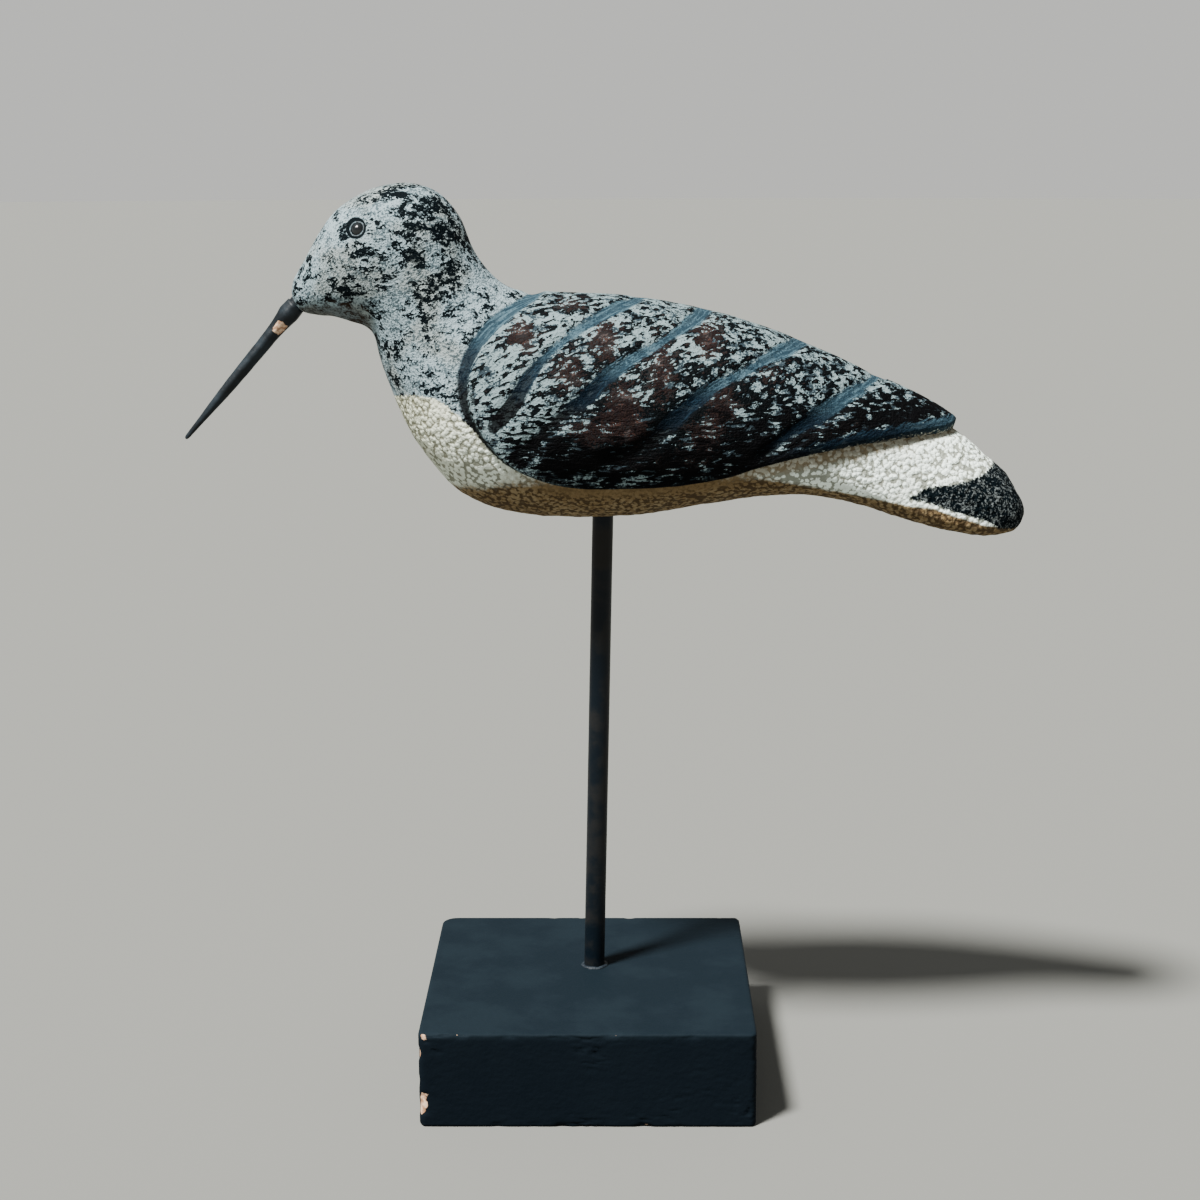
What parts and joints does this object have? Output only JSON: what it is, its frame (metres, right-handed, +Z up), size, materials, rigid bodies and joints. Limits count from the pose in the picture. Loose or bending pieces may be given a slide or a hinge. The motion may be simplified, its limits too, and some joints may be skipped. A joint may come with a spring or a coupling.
{
  "type": "shorebird decoy on stand",
  "caption": "Carved and painted wooden shorebird with a long drooping bill and gouged wings, carried by a slim steel rod on a square black wooden block.",
  "frame": {"origin": "centre of the flat underside of the block that the decoy stands on", "axes": "+Z up, -X the way the bird faces, -Y the bird's left side, which the picture shows"},
  "size_m": [0.2554, 0.1, 0.2743],
  "materials": {
    "painted_bird": "chalky hand-dabbed paint in grey-blue, navy, oxide red and creamy white over carved wood",
    "black_bill": "whittled wood painted satin black, chipped near the root",
    "eye_bead": "glossy black glass bead",
    "black_rod": "steel rod with worn satin black paint, scuffed grey below the bird",
    "black_block": "blue-black matte paint over wood, pitted and chipped on the front end grain"
  },
  "bodies": {
    "root": {"bird": "painted_bird", "bill": "black_bill", "eye_left": "eye_bead", "eye_right": "eye_bead", "rod": "black_rod", "base": "black_block"}
  },
  "joints": []
}
